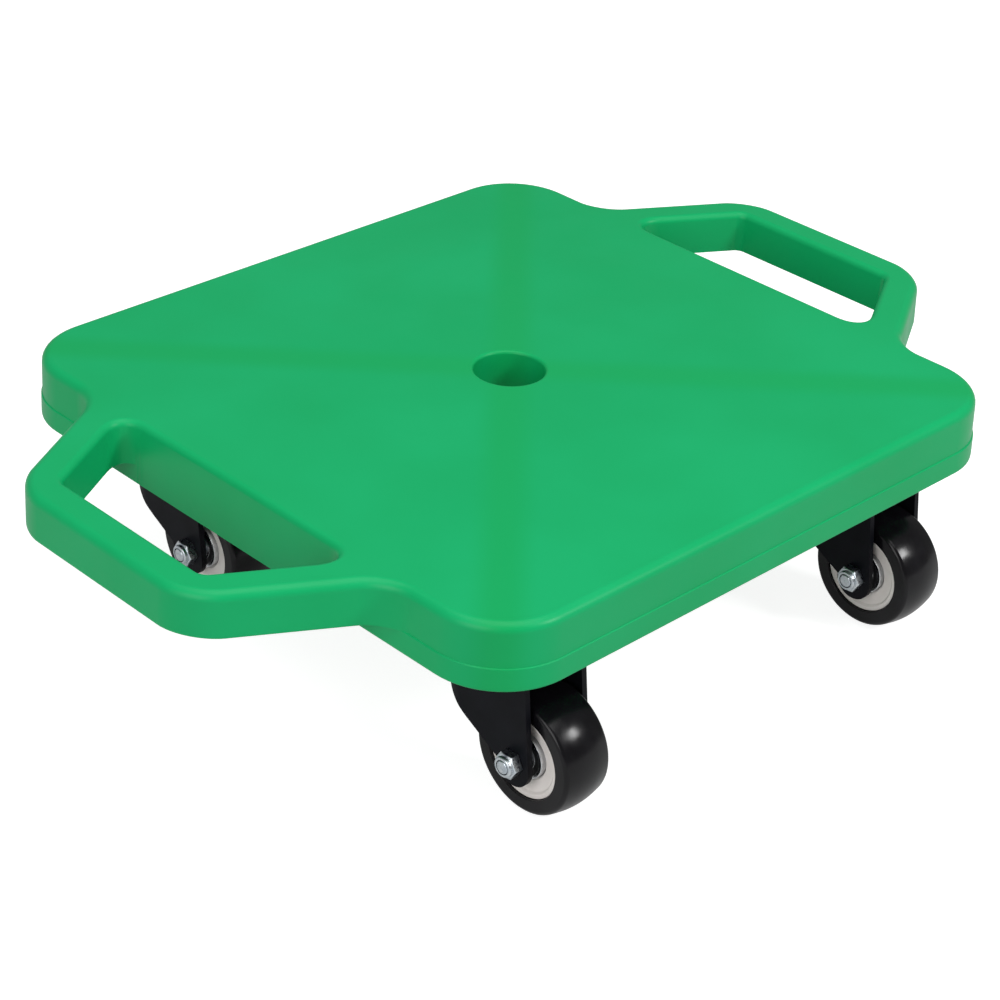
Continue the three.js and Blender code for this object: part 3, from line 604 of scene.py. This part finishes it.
ear_level = AXLE - EAR_DROP
drop = crown_top - ear_level
reach = math.hypot(NOSE - TRAIL, drop)
front_lean = math.asin(EAR / reach) - math.atan2(NOSE - TRAIL, drop)
bottom = ear_level - EAR
nose_foot = -NOSE - math.tan(front_lean) * (crown_top - bottom)
leg = [
    (17 * MM, crown_top + 2 * MM, 0), (-NOSE, crown_top + 2 * MM, 0), (-NOSE, crown_top, 0),
    (nose_foot, bottom, EAR), (EAR - TRAIL, bottom, EAR), (EAR - TRAIL, ear_level, 3 * MM),
    (-3.2 * MM, AXLE + 6.9 * MM, 20 * MM), (7.5 * MM, AXLE + 13.4 * MM, 34 * MM),
    (17 * MM, AXLE + 34 * MM, 0),
]
blank = thicken(outline("blank", leg, -20 * MM, 24), 40 * MM)
blank.rotation_euler = (math.pi / 2, 0, math.pi / 2)
bpy.ops.object.select_all(action="DESELECT")
bpy.context.view_layer.objects.active = blank
blank.select_set(True)
bpy.ops.object.transform_apply(location=False, rotation=True, scale=False)
combine(fork, blank, "INTERSECT")

seat = [(0, crown_under, 0), (18.4 * MM, crown_under, MM), (19 * MM, crown_top, 0.8 * MM),
        (0, crown_top, 0)]
combine(fork, turned("seat", seat, "Z", steps=96), "UNION")
post = rod(RIVET_BORE, crown_under - 2 * MM, crown_top + MM)
combine(fork, turned("post", post, "Z", steps=40))
notch = rod(12 * MM, crown_under - 2 * MM, crown_top + MM)
combine(fork, turned("notch", notch, "Z", (0, -NOSE, 0), 64))
axle_place = (0, -TRAIL, AXLE)
cross_hole = rod(AXLE_BORE, -20 * MM, 20 * MM)
combine(fork, turned("cross_hole", cross_hole, "X", axle_place, 40))
combine(fork, groove("track"))
soften(fork, 0.3 * MM)
print("fork:", len(fork.data.polygons), "faces")

# %% [markdown]
# ## The wheel
# The tread is glossy polyurethane, cast round a light nylon core. Its rolling face is a little
# crowned, so that it turns easily on the spot. A ball bearing is pressed into each side. All
# of them are turned shapes about the axle, so each is a profile with rounded points that is
# spun.

# %% Tread, core and bearings
WHEEL, HALF_WIDTH, CROWN = 25.4 * MM, 11.5 * MM, 36 * MM
SHOULDER, RING = 23.8 * MM, 17.7 * MM
crown = [(WHEEL - CROWN * (1 - math.cos(a)), CROWN * math.sin(a), 0)
         for a in [math.radians(12) * i / 5 for i in range(-5, 6)]]
tread = turned("tread", [
    (RING, -HALF_WIDTH, 0.3 * MM), (SHOULDER, -HALF_WIDTH, 2 * MM), *crown,
    (SHOULDER, HALF_WIDTH, 2 * MM), (RING, HALF_WIDTH, 0.3 * MM)], "X", axle_place, 128)
soften(tread, 0, 30)


def mirrored(profile):
    """The same profile on the other side of the wheel."""
    return [(radius, -place, bend) for radius, place, bend in reversed(profile)]


core_half = [
    (17.5 * MM, 10.3 * MM, 0.3 * MM), (15.7 * MM, 10.3 * MM, 0.4 * MM),
    (14.9 * MM, 9.3 * MM, 0.5 * MM), (10.4 * MM, 8.6 * MM, 0.4 * MM),
    (9.7 * MM, 7.6 * MM, 0), (9.7 * MM, 4 * MM, 0), (6.5 * MM, 4 * MM, 0.3 * MM)]
core = turned("core", mirrored(core_half) + core_half, "X", axle_place, 128)
soften(core, 0, 30)

FACE = 10.2 * MM
bearing_profile = [
    (4.2 * MM, FACE - 6 * MM, 0.2 * MM), (9.5 * MM, FACE - 6 * MM, 0.3 * MM),
    (9.5 * MM, FACE, 0.35 * MM), (8.1 * MM, FACE, 0.15 * MM), (8 * MM, FACE - 0.5 * MM, 0),
    (5.7 * MM, FACE - 0.5 * MM, 0), (5.6 * MM, FACE, 0.15 * MM), (4.2 * MM, FACE, 0.2 * MM)]
bearing_right = turned("bearing_right", bearing_profile, "X", axle_place, 96)
soften(bearing_right, 0, 30)
bearing_left = turned("bearing_left", mirrored(bearing_profile), "X", axle_place, 96)
soften(bearing_left, 0, 30)
print("wheel pieces:", [len(piece.data.polygons) for piece in (tread, core, bearing_left)])

# %% [markdown]
# ## Bolt, lock nut and screws
# A hexagon with chamfered corners is where a six-sided bar and a turned blank with sloped
# ends overlap, so it is made just so. The nut has a round collar that grips the thread, and
# the rounded end of the bolt shows inside the collar.

# %% Hexagons and screws
HEX = 10 * MM
CORNERS = HEX / 2 / math.cos(math.pi / 6)
LEG_FACE = WIDTH / 2 + 0.2 * MM
NUT, HEAD, COLLAR = 3.8 * MM, 4 * MM, 4.3 * MM
SHANK, SLEEVE, SLEEVE_END = 2.8 * MM, 3.8 * MM, 13.3 * MM


def hexagon(name, low, high, slope_low, slope_high):
    """A six-sided head on the axle whose corners are turned off at the sloped ends."""
    bpy.ops.object.select_all(action="DESELECT")
    bpy.ops.mesh.primitive_cylinder_add(
        vertices=6, radius=CORNERS, depth=high - low,
        location=((low + high) / 2, -TRAIL, AXLE), rotation=(0, math.pi / 2, 0))
    bar = bpy.context.object
    bar.name = name
    bpy.ops.object.transform_apply(location=True, rotation=True, scale=False)
    face, corner = HEX / 2 * 0.96, CORNERS + 0.05 * MM
    fall = (corner - face) * 0.6
    blank = [(0, low, 0), (face, low, 0) if slope_low else (corner, low, 0),
             (corner, low + (fall if slope_low else 0.1 * MM), 0),
             (corner, high - (fall if slope_high else 0.1 * MM), 0),
             (face, high, 0) if slope_high else (corner, high, 0), (0, high, 0)]
    return combine(bar, turned("blank", blank, "X", axle_place, 72), "INTERSECT")


nut_end = -LEG_FACE - NUT
nut = hexagon("nut", nut_end, -LEG_FACE, True, False)
collar = [(0, nut_end - 1.5 * MM, 0), (COLLAR, nut_end - 1.5 * MM, 0.7 * MM),
          (COLLAR, nut_end + MM, 0), (0, nut_end + MM, 0)]
combine(nut, turned("collar", collar, "X", axle_place, 64), "UNION")
thread_room = rod(AXLE_BORE, -24 * MM, -10 * MM)
combine(nut, turned("thread_room", thread_room, "X", axle_place, 48))
soften(nut, 0.15 * MM, 25)

bolt = hexagon("bolt", LEG_FACE, LEG_FACE + HEAD, False, True)
shank = [(0, -21.7 * MM, 0), (SHANK, -21.7 * MM, 0.6 * MM), (SHANK, -SLEEVE_END, 0),
         (SLEEVE, -SLEEVE_END, 0.2 * MM), (SLEEVE, SLEEVE_END, 0.2 * MM),
         (SHANK, SLEEVE_END, 0), (SHANK, 17 * MM, 0), (0, 17 * MM, 0)]
combine(bolt, turned("shank", shank, "X", axle_place, 64), "UNION")
soften(bolt, 0.15 * MM, 25)

seat_level = sheet_under - 0.2 * MM
screw = turned("screw", [
    (0, seat_level - 2.4 * MM, 0), (2.9 * MM, seat_level - 2.4 * MM, 0.9 * MM),
    (4.1 * MM, seat_level - 0.9 * MM, 0.5 * MM), (4.1 * MM, seat_level, 0.1 * MM),
    (2.1 * MM, seat_level, 0), (2.1 * MM, seat_level + 13 * MM, 0),
    (0, seat_level + 16 * MM, 0)], "Z", steps=48)
slots = []
for length, width in ((4.2, 0.9), (0.9, 4.2)):
    blade = rectangle(0, 0, length * MM, width * MM, 0.2 * MM)
    slots.append(thicken(outline("blade", blade, seat_level - 4 * MM, 3), 2.9 * MM))
for blade in slots:
    combine(screw, blade)
soften(screw, 0.08 * MM, 30)
print("fasteners:", [len(piece.data.polygons) for piece in (nut, bolt, screw)])

# %% [markdown]
# ## Colours and the node helper
# Colours are written as they look on a screen, in hex, and one function turns them to the
# linear numbers that shaders take. One small function adds a node, sets it and links it.

# %% Material helpers
def linear(colour):
    """An sRGB hex colour as linear red, green, blue and alpha."""
    shares = [int(colour[i:i + 2], 16) / 255 for i in (1, 3, 5)]
    return [s / 12.92 if s <= 0.04045 else ((s + 0.055) / 1.055) ** 2.4 for s in shares] + [1]


def add(tree, kind, settings=(), links=()):
    """Adds a node. Settings are its inputs or properties, and links are (node, output)."""
    made = tree.nodes.new(kind)
    for name, value in dict(settings).items():
        if isinstance(name, int) or name in made.inputs:
            made.inputs[name].default_value = value
        else:
            setattr(made, name, value)
    for name, (source, output) in dict(links).items():
        tree.links.new(source.outputs[output], made.inputs[name])
    return made


def reckon(tree, operation, first, second=None):
    """A math node. Its inputs are (node, output), and the second one may be a number."""
    made = add(tree, "ShaderNodeMath", {"operation": operation}, {0: first})
    if isinstance(second, tuple):
        tree.links.new(second[0].outputs[second[1]], made.inputs[1])
    elif second is not None:
        made.inputs[1].default_value = second
    return made


def feed(tree, shader, ramp, socket="Base Color"):
    """Sends a ramp to one input of the shader."""
    tree.links.new(ramp.outputs[0], shader.inputs[socket])


def roughen(tree, shader, height, strength, depth, below=None):
    """A bump of a real depth on the shader, over a broader one if that is given."""
    links = {"Height": (height, 0)}
    if below is not None:
        links["Normal"] = (below, 0)
    bump = add(tree, "ShaderNodeBump", {"Strength": strength, "Distance": depth}, links)
    tree.links.new(bump.outputs[0], shader.inputs["Normal"])


def finish(name, settings):
    """A new material: its node tree, its shader and the object's own coordinates."""
    material = bpy.data.materials.new(name)
    material.use_nodes = True
    tree = material.node_tree
    tree.nodes.clear()
    shader = add(tree, "ShaderNodeBsdfPrincipled", settings)
    add(tree, "ShaderNodeOutputMaterial", links={"Surface": (shader, "BSDF")})
    return material, tree, shader, add(tree, "ShaderNodeTexCoord")


def noise(tree, place, size, detail=2):
    """Noise with grains of a real size, in the object's own coordinates."""
    return add(tree, "ShaderNodeTexNoise", {"Scale": 1 / size, "Detail": detail},
               {"Vector": (place, "Object")})


def mottle(tree, place, size, stops, detail=3):
    """Noise with blotches of a real size, turned to colours or greys by a ramp."""
    blotches = noise(tree, place, size, detail)
    ramp = add(tree, "ShaderNodeValToRGB", links={"Fac": (blotches, "Fac")})
    for element, (position, colour) in zip(ramp.color_ramp.elements, stops):
        element.position, element.color = position, colour
    return ramp


def grey(value):
    """A linear grey, for ramps that carry a measure and not a colour."""
    return (value, value, value, 1)


# %% [markdown]
# ## Moulded green polypropylene
# Polypropylene from a fine-sparked mould is satin, with a soft broad highlight. Where a rib
# meets the skin on the far side, the plastic shrinks as it cools and the top sinks by a few
# hundredths of a millimetre. That dip is a faint bump, and its shade is painted into the colour
# as an X from corner to corner, a shade darker. The grain of the mould is about 0.3 mm, and is
# drawn at 0.5 mm so that it shows.

# %% Green polypropylene
green, tree, shader, place = finish("moulded_polypropylene_green", {
    "IOR": 1.49, "Roughness": 0.38, "Specular IOR Level": 0.2})
split = add(tree, "ShaderNodeSeparateXYZ", links={"Vector": (place, "Object")})
centre_y = reckon(tree, "SUBTRACT", (split, "Y"), MIDDLE.y)
distances = []
for direction in (1, -1):
    run = reckon(tree, "MULTIPLY", (split, "X"), direction * slant.x)
    rise = reckon(tree, "MULTIPLY", (centre_y, 0), slant.y)
    total = reckon(tree, "ADD", (run, 0), (rise, 0))
    distances.append(reckon(tree, "ABSOLUTE", (total, 0)))
nearest = reckon(tree, "MINIMUM", (distances[0], 0), (distances[1], 0))
# Painted shade: the colour turns darker along both diagonals, standing in for the shade of the
# sink over the ribs.
painted_sink_shade = add(tree, "ShaderNodeMapRange", {"interpolation_type": "SMOOTHSTEP", "From Min": 2 * MM,
           "From Max": 14 * MM}, {"Value": (nearest, 0)})
clouds = mottle(tree, place, 70 * MM, [(0.35, linear("#0CA963")), (0.65, linear("#10AE69"))])
# The mottled green is mixed here with the painted shade of the sink.
mottle_and_sink_shade = add(tree, "ShaderNodeMix", {"data_type": "RGBA", 6: linear("#0CA85D")},
           {0: (painted_sink_shade, 0), 7: (clouds, 0)})
tree.links.new(mottle_and_sink_shade.outputs[2], shader.inputs["Base Color"])
gloss = mottle(tree, place, 25 * MM, [(0.3, grey(0.34)), (0.7, grey(0.42))])
feed(tree, shader, gloss, "Roughness")
dip = add(tree, "ShaderNodeBump", {"Strength": 0.05, "Distance": 0.15 * MM}, {"Height": (painted_sink_shade, 0)})
roughen(tree, shader, noise(tree, place, 0.5 * MM), 0.12, 0.02 * MM, dip)

# %% [markdown]
# ## Black powder coat, zinc plate and polished steel
# Powder coat flows as it is baked and keeps a faint orange peel, with dimples about 1 mm
# apart. Zinc plate is a bright bluish metal whose tone wanders a little where the bath was
# uneven. Balls and bearing rings are bare ground steel, and stay brighter than the plate.

# %% Metals and coatings
black, tree, shader, place = finish("powder_coated_steel_black", {
    "IOR": 1.5, "Roughness": 0.42, "Specular IOR Level": 0.08})
coat = mottle(tree, place, 12 * MM, [(0.3, linear("#0C0D12")), (0.7, linear("#13141A"))])
feed(tree, shader, coat)
roughen(tree, shader, noise(tree, place, MM), 0.2, 0.03 * MM)

zinc, tree, shader, place = finish("zinc_plated_steel", {"Metallic": 1, "Roughness": 0.3})
bath = mottle(tree, place, 3 * MM, [(0.3, linear("#B9C2CB")), (0.7, linear("#DCE1E4"))])
feed(tree, shader, bath)
dull = mottle(tree, place, 1.5 * MM, [(0.3, grey(0.22)), (0.7, grey(0.4))])
feed(tree, shader, dull, "Roughness")

polished, tree, shader, place = finish("polished_ball_steel", {"Metallic": 1, "Roughness": 0.12})
film = mottle(tree, place, 2 * MM, [(0.3, linear("#C6C8CA")), (0.7, linear("#DADCDE"))])
feed(tree, shader, film)

ring_steel, tree, shader, place = finish("ground_bearing_steel", {
    "Metallic": 1, "Roughness": 0.22})
film = mottle(tree, place, 2 * MM, [(0.3, linear("#C3C6CA")), (0.7, linear("#E0E2E4"))])
feed(tree, shader, film)

shield, tree, shader, place = finish("bearing_shield_rubber", {"IOR": 1.5, "Roughness": 0.5})
film = mottle(tree, place, 2 * MM, [(0.3, linear("#17181A")), (0.7, linear("#222326"))])
feed(tree, shader, film)

# %% [markdown]
# ## Cast polyurethane and nylon
# The tread is cast in a polished mould, so it is near black with a tight soft highlight. A
# little floor dust makes it uneven. The nylon core is a warm light grey and slightly satin.

# %% Wheel plastics
urethane, tree, shader, place = finish("cast_polyurethane_black", {
    "IOR": 1.5, "Roughness": 0.2, "Specular IOR Level": 0.25})
dust = mottle(tree, place, 9 * MM, [(0.35, linear("#0B0A0D")), (0.75, linear("#131216"))])
feed(tree, shader, dust)
dull = mottle(tree, place, 5 * MM, [(0.3, grey(0.16)), (0.7, grey(0.27))])
feed(tree, shader, dull, "Roughness")

nylon, tree, shader, place = finish("moulded_nylon_warm_grey", {"IOR": 1.53, "Roughness": 0.4})
film = mottle(tree, place, 6 * MM, [(0.3, linear("#F1EAE5")), (0.7, linear("#F7F1ED"))])
feed(tree, shader, film)
roughen(tree, shader, noise(tree, place, 0.4 * MM), 0.15, 0.02 * MM)

# %% [markdown]
# ## Put every piece on the body that carries it
# The plate, the rivet and the screws stay with the deck. The fork swivels with its bolt and
# nut, the balls roll at half its speed, and the wheel turns about the axle. Each finished
# piece stands for the node of the same place in the measured model.

# %% Mount the pieces
def paint(piece, material, inner=None):
    """One material all over, or a second one on the faces that a test picks."""
    piece.data.materials.clear()
    piece.data.materials.append(material)
    for face in piece.data.polygons:
        face.material_index = 0
    if inner:
        piece.data.materials.append(inner[0])
        for face in piece.data.polygons:
            face.material_index = int(inner[1](face))


def on_shield(face):
    """Whether a face of a bearing belongs to its dark shield."""
    spot = face.center - Vector(axle_place)
    ring = math.hypot(spot.y, spot.z)
    return 5.7 * MM < ring < 8 * MM and abs(abs(spot.x) - FACE) < 0.6 * MM


paint(deck, green)
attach(deck, "deck_body")
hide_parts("deck")

KIT = [
    (plate, "mounting_plate", "top_plate", "deck_body", black, "black_steel"),
    (ball_ring, "ball_race", "swivel_balls", "ball_ring", polished, "ball_steel"),
    (rivet, "rivet", "kingpin", "deck_body", zinc, "zinc_steel"),
    (fork, "pressed_fork", "fork", "swivel", black, "black_steel"),
    (tread, "cast_tread", "wheel_tread", "wheel", urethane, "wheel_tread"),
    (core, "nylon_core", "wheel_core", "wheel", nylon, "wheel_core"),
    (bearing_left, "ball_bearing_left", "bearing_left", "wheel", ring_steel, "bearing_steel"),
    (bearing_right, "ball_bearing_right", "bearing_right", "wheel", ring_steel, "bearing_steel"),
    (bolt, "hex_bolt", "axle_bolt", "swivel", zinc, "zinc_steel"),
    (nut, "lock_nut", "axle_nut", "swivel", zinc, "zinc_steel"),
]
for piece, _, _, _, material, _ in KIT:
    paint(piece, material, (shield, on_shield) if material is ring_steel else None)
paint(screw, zinc)


def mount(original, name, node, body, shift):
    """Puts a copy of a piece at its place, on its body, for its node."""
    copy = moved_copy(original, name, shift)
    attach(copy, body)
    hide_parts(node)


for caster, swivel in swivels.items():
    for piece, name, node, body, _, slot in KIT:
        carrier = body if body == "deck_body" else f"{caster}_{body}"
        mount(piece, f"{caster}_{name}", f"{caster}_{node}", carrier, swivel)
    for i in range(4):
        low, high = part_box(f"{caster}_screw_{i + 1}")
        spot = Vector(((low.x + high.x) / 2, (low.y + high.y) / 2, 0))
        mount(screw, f"{caster}_pan_screw_{i + 1}", f"{caster}_screw_{i + 1}", "deck_body",
              spot)
for original in [row[0] for row in KIT] + [screw]:
    bpy.data.objects.remove(original)

# %% [markdown]
# ## Floor, light and camera
# A pale floor, a broad soft lamp above, a small bright one in front on the right and a broad
# one on the left make a plain studio. The small one gives the wheels their highlight. The
# floor glows for the camera and for clear pieces, and less in mirrored light, so that it reads
# as white, keeps the board's shadow and doesn't veil the black pieces. The camera stands where
# the photographer stood, turned by a few degrees.

# %% Studio
bpy.ops.object.select_all(action="DESELECT")
bpy.ops.mesh.primitive_plane_add(size=40, location=(0, 0, -0.05 * MM))
floor = bpy.context.object
floor.name = "floor"
paper, tree, shader, place = finish("white_paper", {"Roughness": 0.9, "IOR": 1.3})
shader.inputs["Base Color"].default_value = linear("#BEBEBE")
rays = add(tree, "ShaderNodeLightPath")
GLOW, MIRRORED_SHARE = 0.87, 0.3
in_metal = reckon(tree, "MULTIPLY", (rays, "Is Glossy Ray"), MIRRORED_SHARE)
shown = reckon(tree, "MAXIMUM", (rays, "Is Camera Ray"), (in_metal, 0))
seen = reckon(tree, "MAXIMUM", (shown, 0), (rays, "Is Transmission Ray"))
level = reckon(tree, "MULTIPLY", (seen, 0), GLOW)
glow = add(tree, "ShaderNodeEmission", links={"Strength": (level, 0)})
both = add(tree, "ShaderNodeAddShader", links={0: (shader, 0), 1: (glow, 0)})
output = [n for n in tree.nodes if n.type == "OUTPUT_MATERIAL"][0]
tree.links.new(both.outputs[0], output.inputs["Surface"])
floor.data.materials.append(paper)

world = bpy.data.worlds.new("studio")
bpy.context.scene.world = world
world.use_nodes = True
tree = world.node_tree
tree.nodes.clear()
sky = add(tree, "ShaderNodeBackground", {"Strength": 0.3})
add(tree, "ShaderNodeOutputWorld", links={"Surface": (sky, 0)})


def lamp(name, place, target, size, power):
    """A square softbox that faces a point."""
    light = bpy.data.lights.new(name, "AREA")
    light.shape, light.size, light.energy = "SQUARE", size, power
    box = bpy.data.objects.new(name, light)
    bpy.context.scene.collection.objects.link(box)
    box.location = place
    box.rotation_euler = (Vector(target) - Vector(place)).to_track_quat("-Z", "Y").to_euler()


lamp("overhead_softbox", (-0.15, -0.2, 1.3), (-0.05, -0.05, 0.1), 1.2, 10)
lamp("right_softbox", (0.61, -1.34, 1.07), (0, 0, 0.05), 0.38, 12)
lamp("left_softbox", (-1.85, -0.5, 0.85), (0, 0, 0.05), 1.2, 15)

camera = bpy.data.objects.new("camera", bpy.data.cameras.new("camera"))
bpy.context.scene.collection.objects.link(camera)
HEADING, TILT, ROLL = math.radians(44.8), math.radians(30.6), math.radians(2.7)
forward = Vector((math.cos(TILT) * math.cos(HEADING), math.cos(TILT) * math.sin(HEADING),
                  -math.sin(TILT)))
camera.location = (-663.0 * MM, -654.6 * MM, 588.9 * MM)
camera.rotation_euler = forward.to_track_quat("-Z", "Y").to_euler()
camera.rotation_euler.rotate_axis("Z", ROLL)
camera.data.lens = 91.5
bpy.context.scene.camera = camera
bpy.context.scene.view_settings.view_transform = "Standard"
